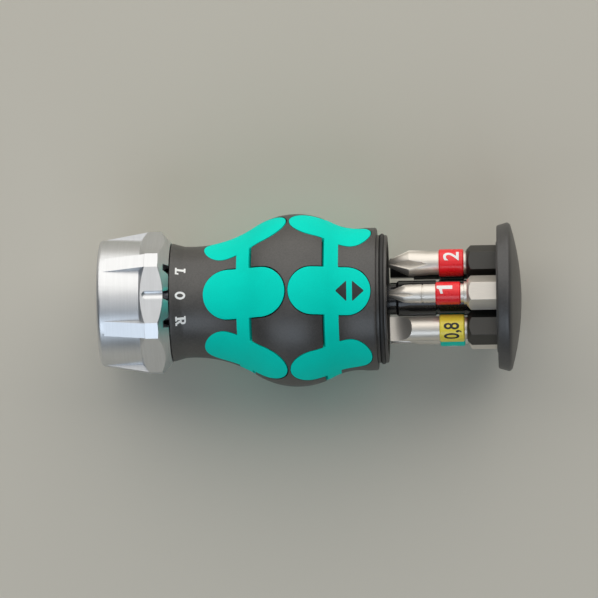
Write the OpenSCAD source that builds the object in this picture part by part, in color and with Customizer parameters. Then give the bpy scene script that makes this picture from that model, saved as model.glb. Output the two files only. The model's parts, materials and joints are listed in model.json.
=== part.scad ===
// Stubby ratcheting screwdriver with a pull-out bit magazine in its handle.
// The tool lies along +X: the nose is at the origin, the magazine's cap at the far end, and the
// selector's mark faces up, along +Z. Sizes are in millimetres and angles in degrees.
// Each piece is drawn along its own Z axis, with "up" at 90 degrees, and then laid down along +X.

/* [Selector ring] */
// Length of the ring along the tool
ring_len = 15.2; // [14.8:0.1:15.6]
// Thickness of the ring's wall round its nose
nose_skin = 1.9; // [1.7:0.1:2.1]
// Rounding of the nose's front edge
nose_round = 1; // [0.6:0.1:1.4]
// Thickness of the ring's front wall
ring_wall = 2.2; // [1.8:0.1:2.6]
// Height of each wide flat over the nose
flat_rise = 0.4; // [0.3:0.1:0.8]
// Angle that one rib spans
rib_span = 13.5; // [11:0.5:16]
// Length of the ribbed part, from its shoulder to the ring's rear end
ribbed_len = 6.2; // [5.8:0.1:6.6]
// Length of the shoulder
shoulder_len = 1.3; // [1:0.1:1.6]
// Length of the rear chamfer on the ribs
rear_chamfer = 2.2; // [1.8:0.1:2.6]
// How far the ring's rear end lies inside the nose's outside
rear_step = 0.8; // [0.6:0.1:1]
// Where the ramp in front of each rib starts
ramp_z = 1.5; // [1.2:0.1:3]
// Width of the mark on the upper flat
mark_w = 1.8; // [1.4:0.1:2.2]
// Length of the mark
mark_len = 4.2; // [3.4:0.1:4.5]
// Depth of the mark
mark_depth = 0.4; // [0.3:0.05:0.5]
// Width of each detent notch in the rear edge
notch_w = 1.5; // [1.3:0.1:1.8]
// Depth of each detent notch along the tool
notch_depth = 1.1; // [0.9:0.1:1.2]
// Turn of the selector from 0 to L or to R
selector_step = 26; // [24:1:28]

/* [Handle] */
// How far the flared lip behind the ring lies inside the ring's rear end
lip_step = 0.1; // [0:0.05:0.4]
// Length of the flared lip
lip_len = 2.9; // [2.4:0.1:3.4]
// Where the front waist is narrowest
waist_z = 19.7; // [19:0.1:20.5]
// Radius of the front waist
waist_r = 11.8; // [11.5:0.1:12.2]
// Where the palm bulge is widest
bulge_z = 41.8; // [41:0.1:42.6]
// Radius of the palm bulge
bulge_r = 18.35; // [18:0.05:18.8]
// Share of the bulge in the tighter of its two curves, from its top to a waist
bulge_share = 0.57; // [0.52:0.01:0.62]
// Where the rear waist is narrowest
rear_waist_z = 55; // [54.4:0.1:55.6]
// Radius of the rear waist
rear_waist_r = 15.05; // [14.9:0.05:15.4]
// Where the straight rim starts
rim_start_z = 56.6; // [56.2:0.1:57.2]
// Where the handle's rim ends
rim_z = 59; // [58.4:0.1:59.6]
// Chamfer of the rim's edge
rim_chamfer = 0.4; // [0.2:0.1:0.6]
// Length of the spigot that enters the cap
spigot_len = 2.2; // [2:0.1:2.6]
// Outer radius of the spigot
spigot_r = 13.6; // [13.4:0.1:13.8]
// Radius of the bit chamber
chamber_r = 12.1; // [12:0.1:12.4]
// Where the bit chamber's floor lies
chamber_z = 32.5; // [31.8:0.1:32.8]

/* [Grip bands] */
// Depth of the soft grip in the handle
grip_depth = 1.6; // [1.2:0.1:1.8]
// Pads round the handle in each band
pad_count = 6; // [5:1:6]
// Front end of the front pads
front_pad_z = 22.5; // [22:0.1:23]
// Length of the front pads
front_pad_len = 17.5; // [16.5:0.1:17.8]
// Width of the front pads
front_pad_w = 10.5; // [9:0.1:10.6]
// Front edge of the front belt
front_belt_z = 29.6; // [29:0.1:30.2]
// Width of the front belt
front_belt_w = 2.7; // [2:0.1:3.4]
// Front end of the rear pads
rear_pad_z = 40.7; // [40.5:0.1:41.2]
// Length of the rear pads
rear_pad_len = 17.2; // [16:0.1:17.4]
// Width of the rear pads
rear_pad_w = 10.1; // [9:0.1:10.6]
// Front edge of the rear belt
rear_belt_z = 48.3; // [47.6:0.1:48.8]
// Width of the rear belt
rear_belt_w = 2.9; // [2:0.1:3.4]

/* [Ratchet] */
// Outer radius of the housing, on which the ring turns; all of the ratchet's radii follow it
housing_r = 11.5; // [11.4:0.05:11.5]
// Outer radius of the cage round the pawls, in the drawn housing
cage_size = 10.6; // [10.5:0.1:10.7]
// Length of the cage between its plate and its floor
cage_len = 5.1; // [4.8:0.1:5.4]
// Thickness of the front plate
plate_t = 0.9; // [0.7:0.1:1.1]
// Flat to flat size of the hexagon stem in the handle, on the drawn housing
stem_size = 16.3; // [15.6:0.1:16.6]
// Length of the hexagon stem
stem_len = 8.3; // [7.8:0.1:8.8]
// Number of ratchet teeth
gear_teeth = 24; // [24:12:24]
// Tip radius of the ratchet gear, in the drawn housing
gear_size = 7.3; // [7.2:0.05:7.4]
// Depth of the ratchet teeth, in the drawn housing
tooth_size = 1; // [0.9:0.05:1.1]
// Distance of the pawl pivots from the axis, in the drawn housing
pivot_size = 9.3; // [9.2:0.05:9.4]
// Radius of the pawl pins, in the drawn housing
pawl_pin_size = 1; // [0.8:0.05:1.1]

/* [Spindle] */
// Radius of the spindle, in the drawn housing
spindle_size = 5; // [4.8:0.05:5.1]
// Flat to flat size of the bit socket
socket_af = 6.4; // [6.4:0.05:6.6]
// Depth of the bit socket
socket_depth = 12.6; // [11.5:0.1:13.5]
// Radius of the magnet at the socket's floor
magnet_r = 2.5; // [2:0.1:2.8]
// Length of the magnet
magnet_len = 3; // [2:0.1:4]

/* [Magazine] */
// Travel of the magazine from open to closed
magazine_travel = 25.3; // [25:0.1:25.6]
// Radius of the cap's front edge
cap_edge_r = 15.15; // [15:0.05:15.3]
// Largest radius of the cap
cap_r = 15.85; // [15.6:0.05:16.2]
// Where the cap is widest, from its front edge
cap_flare_len = 2.4; // [2:0.1:2.8]
// Length of the cap from its front edge to the top of its dome
cap_len = 5.1; // [4.9:0.1:5.5]
// Inner radius of the cap's skirt
skirt_r = 14; // [13.95:0.05:14.2]
// Radius of the disc that holds the bits
retainer_r = 11.75; // [11.7:0.05:11.8]
// Thickness of the disc that holds the bits
retainer_t = 2.5; // [2.2:0.1:2.6]
// Radius of the magazine's post
post_r = 3.8; // [3.6:0.1:4]
// Length of the magazine's post
post_len = 29.7; // [29:0.1:30]
// Radius of the guide pin
guide_r = 1.4; // [1.2:0.05:1.45]
// Radius of the guide pin's head
guide_head_r = 1.9; // [1.8:0.05:2]

/* [Bits] */
// Distance of the bits from the axis
bit_circle_r = 8.05; // [8:0.01:8.1]
// Length of a bit
bit_len = 25; // [24.6:0.1:25]
// Flat to flat size of the bit shanks
bit_af = 6.35; // [6.3:0.01:6.35]
// Length of the hexagon shank
shank_len = 8.6; // [8:0.1:9]
// Length of a colour sleeve
sleeve_len = 5.3; // [4.5:0.1:5.5]
// Radius of a colour sleeve
sleeve_r = 2.9; // [2.7:0.05:3]

/* [Hidden] */
$fn = 64;
// Cuts run past the faces they open by this much
overrun = 0.5;
up_angle = 90;
half_turn = 180;

// Clearances
turn_gap = 0.1;        // radial gap of the ring on the housing
running_gap = 0.05;    // radial gap of shafts in bores
side_gap = 0.3;        // gap beside the pawls and in front of the gear
end_gap = 0.2;         // gap between the ring's front wall and the front plate
ring_gap = 0.15;       // gap between the ring and the handle's lip
seat_gap = 0.1;        // gap at the magazine's end stops
pocket_gap = 0.05;     // gap on each flat of a bit in its pocket
follow_gap = 0.1;      // gap between a pawl's tail and its cam

// The ratchet's radii, which follow the housing
drawn_housing_r = 11.5; // the sizes above that name the drawn housing are for this radius
ratchet_scale = housing_r / drawn_housing_r;
cage_r = ratchet_scale * cage_size;
stem_af = ratchet_scale * stem_size;
gear_tip_r = ratchet_scale * gear_size;
tooth_depth = ratchet_scale * tooth_size;
pivot_r = ratchet_scale * pivot_size;
pawl_pin_r = ratchet_scale * pawl_pin_size;
spindle_r = ratchet_scale * spindle_size;

// Ring
rib_count = 6;
rib_pitch = 360 / rib_count;
flat_span = rib_pitch - rib_span;
ring_bore_r = housing_r + turn_gap;
nose_r = ring_bore_r + nose_skin;
flat_dist = nose_r + flat_rise;
ring_rear_r = nose_r - rear_step;
lip_r = ring_rear_r - lip_step;
corner_r = flat_dist / cos(flat_span / 2);
rib_dist = corner_r * cos(rib_span / 2);
rib_w = 2 * corner_r * sin(rib_span / 2);
shoulder_z = ring_len - ribbed_len;
shoulder_end_z = shoulder_z + shoulder_len;
rib_end_z = ring_len - rear_chamfer;
ramp_inset = 0.1;      // ramps are this much narrower on each side than the ribs
ramp_dip = 0.05;       // ramps end this far below the ribs
ramp_root = 1;         // depth of a ramp's root in the ring
blank_extra = 0.3;     // the turned blank is larger than the ribs by this
nose_bore_share = 1.1; // bore of the ring's front wall, as a share of the spindle
nose_bore_r = nose_bore_share * spindle_r;
shoulder_slope = shoulder_len / (corner_r - nose_r);
chamfer_slope = (ring_len - rib_end_z) / (corner_r - ring_rear_r);
notch_flare = 0.35;    // each notch widens by this on each side
mark_arc_r = (pow(mark_w / 2, 2) + pow(mark_depth, 2)) / (2 * mark_depth);

// Stations along the tool
plate_z = ring_wall + end_gap;
cage_z = plate_z + plate_t;
floor_z = cage_z + cage_len;
detent_room = 1.2;     // length of the gap that holds the detent spring
stem_z = ring_len - detent_room;
stem_end_z = stem_z + stem_len;
lip_z = ring_len + ring_gap;

// Snap ring that holds the selector ring on the housing
snap_inset = 1.7;      // from the housing's rear face
snap_z = stem_z - snap_inset;
snap_t = 0.7;
snap_seat = 0.55;      // depth of the snap ring's seat in the housing
snap_w = 1;
snap_in_r = housing_r - snap_seat;
snap_out_r = snap_in_r + snap_w;
snap_gap_angle = 24;
snap_play = 0.15;

// Detent spring
leaf_t = 0.5;
leaf_gap = 0.15;
leaf_leg = 3.6;
leaf_from_angle = 52;
nose_w = 1.2;
nose_reach = 0.8;      // height of the nose over the ring's bore
nose_top_r = ring_bore_r + nose_reach;
leaf_r = stem_af / sqrt(3) + running_gap;

// Gear and pawls
washer_t = 0.4;
washer_share = 1.2;    // radius of the washer, as a share of the spindle's
washer_r = washer_share * spindle_r;
gear_root_r = gear_tip_r - tooth_depth;
tooth_pitch = 360 / gear_teeth;
tooth_tip_share = 0.12;
tooth_root_share = 0.345;
gear_gap = 0.3;
gear_z = cage_z + side_gap;
washer_z = floor_z - washer_t;
gear_len = washer_z - seat_gap - gear_z;
pawl_len = cage_len - 2 * side_gap;
pivot_angle = 18;
toe_angle = 60;
tail_angle = -6;
toe_rest_share = 0.6;  // height of a toe over the tooth roots, as a share of the tooth depth
toe_r = gear_root_r + toe_rest_share * tooth_depth;
toe_tip_share = 0.28;  // width of a toe's tip, as a share of the tooth depth
toe_root_share = 1.44; // width of a toe's root, as a share of the tooth depth
toe_tip_w = toe_tip_share * tooth_depth;
toe_root_w = toe_root_share * tooth_depth;
pawl_clear_share = 0.8; // height of a pawl over the tooth tips, as a share of the tooth depth
pawl_in_r = gear_tip_r + pawl_clear_share * tooth_depth;
pawl_t_share = 1.9;    // thickness of a pawl, as a share of the tooth depth
pawl_t = pawl_t_share * tooth_depth;
pawl_out_r = pawl_in_r + pawl_t;
pawl_end_angle = 64;
pawl_boss_share = 1.7; // radius of a pawl's boss, as a share of its pin's
pawl_boss_r = pawl_boss_share * pawl_pin_r;
tail_t_share = 1.2;    // thickness of a pawl's tail, as a share of the tooth depth
tail_nose_share = 0.55; // radius of the tail's round nose, as a share of the tooth depth
tail_reach_share = 1.8; // reach of the tail over the pivot, as a share of the tooth depth
tail_in_r = pivot_r;
tail_out_r = tail_in_r + tail_t_share * tooth_depth;
tail_nose_r = tail_nose_share * tooth_depth;
tail_r = pivot_r + tail_reach_share * tooth_depth;
tail_end_angle = -9;
cage_open_angle = -17;
cage_close_angle = 76;
block_end_angle = half_turn - cage_close_angle;
pin_depth = 2;

// Cams inside the ring, one for each pawl
toe_stroke_share = 0.5; // lift of a toe at one setting, as a share of the tooth depth
toe_stroke = toe_stroke_share * tooth_depth;
pawl_swing = toe_stroke / (pivot_r * sin(toe_angle - pivot_angle));
cam_rise = pawl_swing * pivot_r * sin(pivot_angle - tail_angle);
cam_mid_r = tail_r + follow_gap;
cam_angle = 31;
cam_steps = 16;
cam_root = 0.4;        // depth of a cam's root in the ring
cam_inset = 0.6;
cam_z = gear_z + cam_inset;
cam_len = 3.6;

// Leaf spring over both pawls
pawl_leaf_t = 0.3;
pawl_leaf_w = 2.6;
pawl_leaf_angle = 52;
pawl_leaf_end_angle = half_turn - pawl_leaf_angle;
pawl_leaf_in_r = pawl_out_r + running_gap;
pawl_leaf_out_r = pawl_leaf_in_r + pawl_leaf_t;
pawl_leaf_inset = 0.9;
pawl_leaf_z = gear_z + pawl_leaf_inset;
pawl_tab_w = 1.2;
pawl_tab_depth = 1;

// Spindle
spindle_chamfer = 0.4;
spindle_tail = 1.7;
spindle_end_z = stem_end_z + spindle_tail;
circlip_gap = 0.35;
circlip_t = 0.7;
circlip_play = 0.05;
circlip_groove = 0.6;
circlip_wall = 1;
circlip_angle = 70;
circlip_z = stem_end_z + circlip_gap;
tail_pocket_gap = 1.8; // gap round the spindle's rear end in the handle
tail_pocket_r = spindle_r + tail_pocket_gap;
tail_pocket_room = 0.8;
tail_pocket_z = spindle_end_z + tail_pocket_room;

// Handle profile: the bulge's arc meets a hollow arc on each side
front_dz = waist_z - bulge_z;
front_drop = bulge_r - waist_r;
front_arcs = (pow(front_dz, 2) + pow(front_drop, 2)) / (2 * front_drop);
rear_dz = rear_waist_z - bulge_z;
rear_drop = bulge_r - rear_waist_r;
rear_arcs = (pow(rear_dz, 2) + pow(rear_drop, 2)) / (2 * rear_drop);
bulge_arc_r = bulge_share * min(front_arcs, rear_arcs);
bulge_mid_r = bulge_r - bulge_arc_r;
front_arc_r = front_arcs - bulge_arc_r;
rear_arc_r = rear_arcs - bulge_arc_r;
rim_r = rim_edge_r(0);
lip_root_r = waist_r;
front_steps = 9;
bulge_steps = 12;
rear_steps = 6;

// Bit chamber and guide
post_pocket_gap = 0.3;
post_pocket_r = post_r + post_pocket_gap;
post_pocket_depth = 1.8;
guide_depth = 4.2;
guide_root_z = chamber_z - post_pocket_depth - guide_depth;
ring_seal_r = 0.5;
seal_groove_w = 1.1;
seal_groove_depth = 0.7;
seal_z = rim_z + spigot_len / 2;

// Magazine
cap_z = rim_z + magazine_travel + seat_gap;
cap_floor_z = cap_z + spigot_len + seat_gap;
cap_top_z = cap_z + cap_len;
cap_edge = 0.7;        // size of the chamfer between the cap's rim and its dome
dome_rise = 2.3;
dome_fn = 512;
dome_r = (pow(cap_r, 2) + pow(dome_rise, 2)) / (2 * dome_rise);
post_z = cap_floor_z - post_len;
post_lip = 2;
post_front_len = 6;
post_step_z = post_z + post_front_len;
post_step = 0.4;
post_groove_from = 14.4;
post_groove_z = post_z + post_groove_from;
post_groove_w = 0.6;
post_groove_depth = 0.3;
guide_head_len = 2;
guide_head_z = post_z + post_lip + seat_gap;

// Bits
bit_count = 6;
bit_end_z = cap_floor_z - seat_gap;
bit_tip_z = bit_end_z - bit_len;
shank_chamfer = 0.9;
shank_corner_r = bit_af / sqrt(3);
neck_len = 0.6;
neck_r = 2.4;
sleeve_bevel = 0.25;
bit_body_r = 2.5;
sleeve_end_w = bit_len - shank_len - neck_len;
tip_len = sleeve_end_w - sleeve_len;
flute_side = 4;
flute_rise = 0.15;     // height of a flute's floor over the body, where the tip's cone ends

// Cross tips: radii, and places along the tip as shares of its length
large_core_r = 0.75;
large_tip_r = 0.8;
large_wing_r = 2.85;
large_wing_share = 0.4;
large_runout_share = 0.84;
large_flute_turn = 73;
small_body_r = 2;
small_sleeve_r = 2.4;
small_core_r = 0.5;
small_tip_r = 0.6;
small_wing_r = 1.9;
small_wing_share = 0.305;
small_runout_share = 0.6;
small_flute_turn = 12;
small_groove_share = 0.66;
small_groove_w = 0.3;
small_groove_depth = 0.15;
small_sleeve_shift = 0.7; // this sleeve sits nearer to the tip

// Slotted, star and hexagon tips
slot_body_r = 2.6;
slot_neck_r = 2.3;
blade_t = 0.8;
scoop_r = 4.5;
scoop_w = 0.8;
blade_turn = -60;
star_r = 2.2;
star_small_r = 1.65;
star_share = 0.42;     // length of a star, as a share of the tip
star_len = star_share * tip_len;
star_hollow_share = 0.26;
star_taper_share = 0.4; // length of the taper, as a share of the star
star_taper = star_taper_share * star_len;
hex_tip_af = 4;
hex_tip_share = 0.476;
hex_tip_len = hex_tip_share * tip_len;

function polar(r, a) = [r * cos(a), r * sin(a)];

// Radius at a station of a hollow whose arc is narrowest at its middle station, drawn in by an inset
function hollow_r(z, mid_z, mid_r, arc_r, inset) =
    mid_r + arc_r - sqrt(pow(arc_r + inset, 2) - pow(z - mid_z, 2));

// Radius of the straight rim, where the rear hollow ends
function rim_edge_r(inset) = hollow_r(rim_start_z, rear_waist_z, rear_waist_r, rear_arc_r, inset);

// Lays a piece drawn along Z down along the tool
module laid() {
    rotate([90, 0, 90])
        children();
}

// Round bar between two stations
module bar(r, z0, z1) {
    translate([0, 0, z0])
        cylinder(r = r, h = z1 - z0);
}

// Hexagon bar between two stations, with a flat facing up
module hex_bar(af, z0, z1) {
    translate([0, 0, z0])
        cylinder(r = af / sqrt(3), h = z1 - z0, $fn = 6);
}

// Flat piece cut to an outline between two stations
module slab(z0, z1) {
    translate([0, 0, z0])
        linear_extrude(height = z1 - z0)
            children();
}

// Wedge of the plane between two angles less than a half turn apart
module wedge(r, a0, a1) {
    polygon([[0, 0], polar(2 * r, a0), polar(2 * r, (a0 + a1) / 2), polar(2 * r, a1)]);
}

// Part of a flat ring between two angles
module arc_strip(r_in, r_out, a0, a1) {
    intersection() {
        difference() {
            circle(r = r_out);
            circle(r = r_in);
        }
        wedge(r_out, a0, a1);
    }
}

// Mirrors a piece to the tool's other side
module other_side() {
    mirror([1, 0, 0])
        children();
}

module ring_blank() {
    blank_r = corner_r + blank_extra;
    intersection() {
        rotate_extrude()
            union() {
                translate([0, nose_round])
                    polygon([
                        [0, 0],
                        [nose_r, 0],
                        [nose_r, shoulder_z - nose_round],
                        [blank_r, shoulder_z - nose_round + (blank_r - nose_r) * shoulder_slope],
                        [blank_r, rib_end_z - nose_round - blank_extra * chamfer_slope],
                        [ring_rear_r, ring_len - nose_round],
                        [0, ring_len - nose_round]
                    ]);
                square([nose_r - nose_round, nose_round]);
                intersection() {
                    translate([nose_r - nose_round, nose_round])
                        circle(r = nose_round);
                    translate([nose_r - nose_round, 0])
                        square([nose_round, nose_round]);
                }
            }
        slab(-overrun, ring_len + overrun)
            polygon([
                for (i = [0 : rib_count - 1])
                    for (side = [-1, 1])
                        polar(corner_r, up_angle + i * rib_pitch + side * flat_span / 2)
            ]);
    }
}

module rib_ramps() {
    ramp_w = rib_w - 2 * ramp_inset;
    for (i = [0 : rib_count - 1])
        rotate([0, 0, up_angle + (i + 0.5) * rib_pitch])
            translate([0, ramp_w / 2, 0])
                rotate([90, 0, 0])
                    linear_extrude(height = ramp_w)
                        polygon([
                            [nose_r - ramp_root, ramp_z],
                            [nose_r - ramp_dip, ramp_z],
                            [rib_dist - ramp_dip, shoulder_end_z],
                            [nose_r - ramp_root, shoulder_end_z]
                        ]);
}

// The mark: a round groove in the upper flat, with a round front end
module ring_mark() {
    mark_z = rib_end_z + mark_w - mark_len;
    translate([0, flat_dist - mark_depth + mark_arc_r, 0]) {
        bar(mark_arc_r, mark_z, ring_len + overrun);
        translate([0, 0, mark_z])
            sphere(r = mark_arc_r);
    }
}

// Notch in the ring's rear edge that widens towards the handle
module detent_notch() {
    deep = notch_depth + overrun;
    wide = notch_w / 2 + notch_flare * deep / notch_depth;
    translate([0, ring_bore_r - turn_gap, 0])
        rotate([-90, 0, 0])
            linear_extrude(height = corner_r)
                polygon([
                    [-notch_w / 2, notch_depth - ring_len],
                    [notch_w / 2, notch_depth - ring_len],
                    [wide, notch_depth - ring_len - deep],
                    [-wide, notch_depth - ring_len - deep]
                ]);
}

// Spiral cam inside the ring: it holds a pawl's tail at each setting
module ring_cam() {
    function cam_r(d) = cam_mid_r + cam_rise * d / selector_step;
    spread = [for (i = [0 : cam_steps]) cam_angle * (2 * i / cam_steps - 1)];
    slab(cam_z, cam_z + cam_len)
        polygon(concat(
            [for (d = spread) polar(cam_r(d), tail_angle + d)],
            [for (d = spread) polar(ring_bore_r + cam_root, tail_angle - d)]
        ));
}

module selector_ring() {
    color("silver")
        laid() {
            difference() {
                union() {
                    ring_blank();
                    rib_ramps();
                }
                bar(nose_bore_r, -overrun, ring_len);
                bar(ring_bore_r, ring_wall, ring_len + overrun);
                bar(snap_out_r + snap_play, snap_z - snap_play, snap_z + snap_t + snap_play);
                ring_mark();
                for (step = [-1 : 1])
                    rotate([0, 0, step * selector_step])
                        detent_notch();
            }
            ring_cam();
            other_side()
                ring_cam();
        }
}

module ring_retainer() {
    color("dimgray")
        laid()
            slab(snap_z, snap_z + snap_t)
                difference() {
                    circle(r = snap_out_r);
                    circle(r = snap_in_r);
                    wedge(snap_out_r, -up_angle - snap_gap_angle / 2, -up_angle + snap_gap_angle / 2);
                }
}

// Leaf on the housing's stem, with a nose that clicks into the ring's notches
module detent_spring() {
    flat = stem_af / 2 + running_gap;
    corner = leaf_r / 2;
    color("dimgray")
        laid()
            slab(stem_z + leaf_gap, lip_z - leaf_gap)
                union() {
                    arc_strip(leaf_r, leaf_r + leaf_t, leaf_from_angle, half_turn - leaf_from_angle);
                    for (side = [-1, 1])
                        rotate(up_angle + side * rib_pitch)
                            translate([flat, side > 0 ? -corner : corner - leaf_leg])
                                square([leaf_t, leaf_leg]);
                    intersection() {
                        translate([-nose_w / 2, leaf_r])
                            square([nose_w, nose_top_r - leaf_r]);
                        translate([0, nose_top_r - nose_w])
                            union() {
                                circle(r = nose_w);
                                translate([-nose_w, -nose_top_r])
                                    square([2 * nose_w, nose_top_r]);
                            }
                    }
                }
}

// Half section of the handle's outside, drawn in by an inset: a hollow, the bulge, a hollow and the rim
module handle_section(inset) {
    mid_r = bulge_arc_r - inset;
    front_z = bulge_z + front_dz * mid_r / front_arcs;
    rear_z = bulge_z + rear_dz * mid_r / rear_arcs;
    polygon(concat(
        [[0, lip_z]],
        [
            for (i = [0 : front_steps])
                let (z = lip_z + (front_z - lip_z) * i / front_steps)
                    [hollow_r(z, waist_z, waist_r, front_arc_r, inset), z]
        ],
        [
            for (i = [1 : bulge_steps - 1])
                let (z = front_z + (rear_z - front_z) * i / bulge_steps)
                    [bulge_mid_r + sqrt(pow(mid_r, 2) - pow(z - bulge_z, 2)), z]
        ],
        [
            for (i = [0 : rear_steps])
                let (z = rear_z + (rim_start_z - rear_z) * i / rear_steps)
                    [hollow_r(z, rear_waist_z, rear_waist_r, rear_arc_r, inset), z]
        ],
        [[rim_edge_r(inset), rim_z], [0, rim_z]]
    ));
}

// Stadium pads all round, joined by a belt, cut out radially
module pad_cutter(pad_z, pad_len, pad_w, belt_z, belt_w) {
    pad_r = pad_w / 2;
    from_r = waist_r - grip_depth - overrun;
    to_r = bulge_r + overrun;
    for (i = [0 : pad_count - 1])
        rotate([0, 0, up_angle + i * 360 / pad_count])
            translate([from_r, 0, 0])
                rotate([0, 90, 0])
                    linear_extrude(height = to_r - from_r)
                        union() {
                            translate([-pad_z - pad_r, 0])
                                circle(r = pad_r);
                            translate([-pad_z - pad_len + pad_r, 0])
                                circle(r = pad_r);
                            translate([-pad_z - pad_len + pad_r, -pad_r])
                                square([pad_len - pad_w, pad_w]);
                        }
    difference() {
        bar(to_r + overrun, belt_z, belt_z + belt_w);
        bar(from_r - overrun, belt_z - overrun, belt_z + belt_w + overrun);
    }
}

module front_pads() {
    pad_cutter(front_pad_z, front_pad_len, front_pad_w, front_belt_z, front_belt_w);
}

module rear_pads() {
    pad_cutter(rear_pad_z, rear_pad_len, rear_pad_w, rear_belt_z, rear_belt_w);
}

module handle_core() {
    rotate_extrude()
        handle_section(grip_depth);
}

module handle_body() {
    rotate_extrude()
        handle_section(0);
}

module handle_shell() {
    color([0.16, 0.16, 0.17])
        laid()
            difference() {
                union() {
                    difference() {
                        handle_body();
                        difference() {
                            union() {
                                front_pads();
                                rear_pads();
                            }
                            handle_core();
                        }
                    }
                    rotate_extrude()
                        polygon([
                            [0, lip_z],
                            [lip_r, lip_z],
                            [lip_root_r, lip_z + lip_len],
                            [0, lip_z + lip_len]
                        ]);
                    bar(spigot_r, rim_z - overrun, rim_z + spigot_len);
                }
                hex_bar(stem_af, lip_z - overrun, stem_end_z);
                bar(tail_pocket_r, stem_end_z - overrun, tail_pocket_z);
                bar(chamber_r, chamber_z, rim_z + spigot_len + overrun);
                bar(post_pocket_r, chamber_z - post_pocket_depth, chamber_z + overrun);
                bar(guide_r, guide_root_z, chamber_z);
                difference() {
                    bar(spigot_r + overrun, seal_z - seal_groove_w / 2, seal_z + seal_groove_w / 2);
                    bar(spigot_r - seal_groove_depth, rim_z, rim_z + spigot_len);
                }
                rotate_extrude()
                    polygon([
                        [rim_r - rim_chamfer, rim_z],
                        [rim_r + overrun, rim_z],
                        [rim_r + overrun, rim_z - rim_chamfer - overrun]
                    ]);
            }
}

module front_grip_band() {
    color([0, 0.72, 0.6])
        laid()
            intersection() {
                difference() {
                    handle_body();
                    handle_core();
                }
                front_pads();
            }
}

module rear_grip_band() {
    color([0, 0.72, 0.6])
        laid()
            intersection() {
                difference() {
                    handle_body();
                    handle_core();
                }
                rear_pads();
            }
}

module pawl_pin_places() {
    for (a = [pivot_angle, half_turn - pivot_angle])
        translate(polar(pivot_r, a))
            children();
}

module ratchet_housing() {
    color("gray")
        laid()
            difference() {
                union() {
                    slab(cage_z, floor_z)
                        difference() {
                            circle(r = cage_r);
                            circle(r = gear_tip_r + gear_gap);
                            wedge(cage_r, cage_open_angle, cage_close_angle);
                            other_side()
                                wedge(cage_r, cage_open_angle, cage_close_angle);
                            arc_strip(pawl_leaf_in_r, cage_r + overrun, cage_close_angle, block_end_angle);
                            translate([-pawl_tab_w / 2, pawl_leaf_in_r - pawl_tab_depth])
                                square([pawl_tab_w, pawl_tab_depth + overrun]);
                        }
                    bar(housing_r, floor_z, stem_z);
                    hex_bar(stem_af, stem_z, stem_end_z);
                }
                bar(spindle_r + running_gap, floor_z - overrun, stem_end_z + overrun);
                difference() {
                    bar(housing_r + overrun, snap_z - snap_play, snap_z + snap_t + snap_play);
                    bar(snap_in_r, snap_z - overrun, snap_z + snap_t + overrun);
                }
                pawl_pin_places()
                    bar(pawl_pin_r, floor_z - overrun, floor_z + pin_depth);
            }
}

module front_plate() {
    color("gray")
        laid()
            difference() {
                bar(cage_r, plate_z, cage_z);
                bar(spindle_r + running_gap, plate_z - overrun, cage_z + overrun);
                pawl_pin_places()
                    bar(pawl_pin_r, plate_z - overrun, cage_z + overrun);
            }
}

module spindle() {
    groove_z = circlip_z - circlip_play;
    groove_end_z = circlip_z + circlip_t + circlip_play;
    color("lightgray")
        laid()
            difference() {
                rotate_extrude()
                    polygon([
                        [0, 0],
                        [spindle_r - spindle_chamfer, 0],
                        [spindle_r, spindle_chamfer],
                        [spindle_r, groove_z],
                        [spindle_r - circlip_groove, groove_z],
                        [spindle_r - circlip_groove, groove_end_z],
                        [spindle_r, groove_end_z],
                        [spindle_r, spindle_end_z - spindle_chamfer],
                        [spindle_r - spindle_chamfer, spindle_end_z],
                        [0, spindle_end_z]
                    ]);
                hex_bar(socket_af, -overrun, socket_depth);
                bar(magnet_r, socket_depth - overrun, socket_depth + magnet_len);
            }
}

module ratchet_gear() {
    tip_half = tooth_tip_share * tooth_pitch;
    root_half = tooth_root_share * tooth_pitch;
    color("darkgray")
        laid()
            slab(gear_z, gear_z + gear_len)
                difference() {
                    polygon([
                        for (i = [0 : gear_teeth - 1])
                            let (mid = (i + 0.5) * tooth_pitch)
                                each [
                                    polar(gear_root_r, mid - root_half),
                                    polar(gear_tip_r, mid - tip_half),
                                    polar(gear_tip_r, mid + tip_half),
                                    polar(gear_root_r, mid + root_half)
                                ]
                    ]);
                    circle(r = spindle_r);
                }
}

module thrust_washer() {
    color("goldenrod")
        laid()
            difference() {
                bar(washer_r, washer_z, floor_z);
                bar(spindle_r + running_gap, washer_z - overrun, floor_z + overrun);
            }
}

module spindle_circlip() {
    color("dimgray")
        laid()
            slab(circlip_z, circlip_z + circlip_t)
                difference() {
                    circle(r = spindle_r + circlip_wall);
                    circle(r = spindle_r - circlip_groove + circlip_play);
                    wedge(spindle_r, -up_angle - circlip_angle / 2, -up_angle + circlip_angle / 2);
                }
}

module socket_magnet() {
    color("silver")
        laid()
            bar(magnet_r, socket_depth, socket_depth + magnet_len);
}

// Pawl: a bar round the gear, with a toe between two teeth and a tail under the cam
module pawl() {
    slab(gear_z, gear_z + pawl_len)
        difference() {
            union() {
                arc_strip(pawl_in_r, pawl_out_r, pivot_angle, pawl_end_angle);
                arc_strip(tail_in_r, tail_out_r, tail_end_angle, pivot_angle);
                translate(polar(pivot_r, pivot_angle))
                    circle(r = pawl_boss_r);
                translate(polar(tail_r - tail_nose_r, tail_angle))
                    circle(r = tail_nose_r);
                rotate(toe_angle)
                    polygon([
                        [toe_r, -toe_tip_w / 2],
                        [pawl_in_r + tooth_depth / 2, -toe_root_w / 2],
                        [pawl_in_r + tooth_depth / 2, toe_root_w / 2],
                        [toe_r, toe_tip_w / 2]
                    ]);
            }
            translate(polar(pivot_r, pivot_angle))
                circle(r = pawl_pin_r + running_gap);
        }
}

module left_pawl() {
    color("darkgray")
        laid()
            pawl();
}

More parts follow.
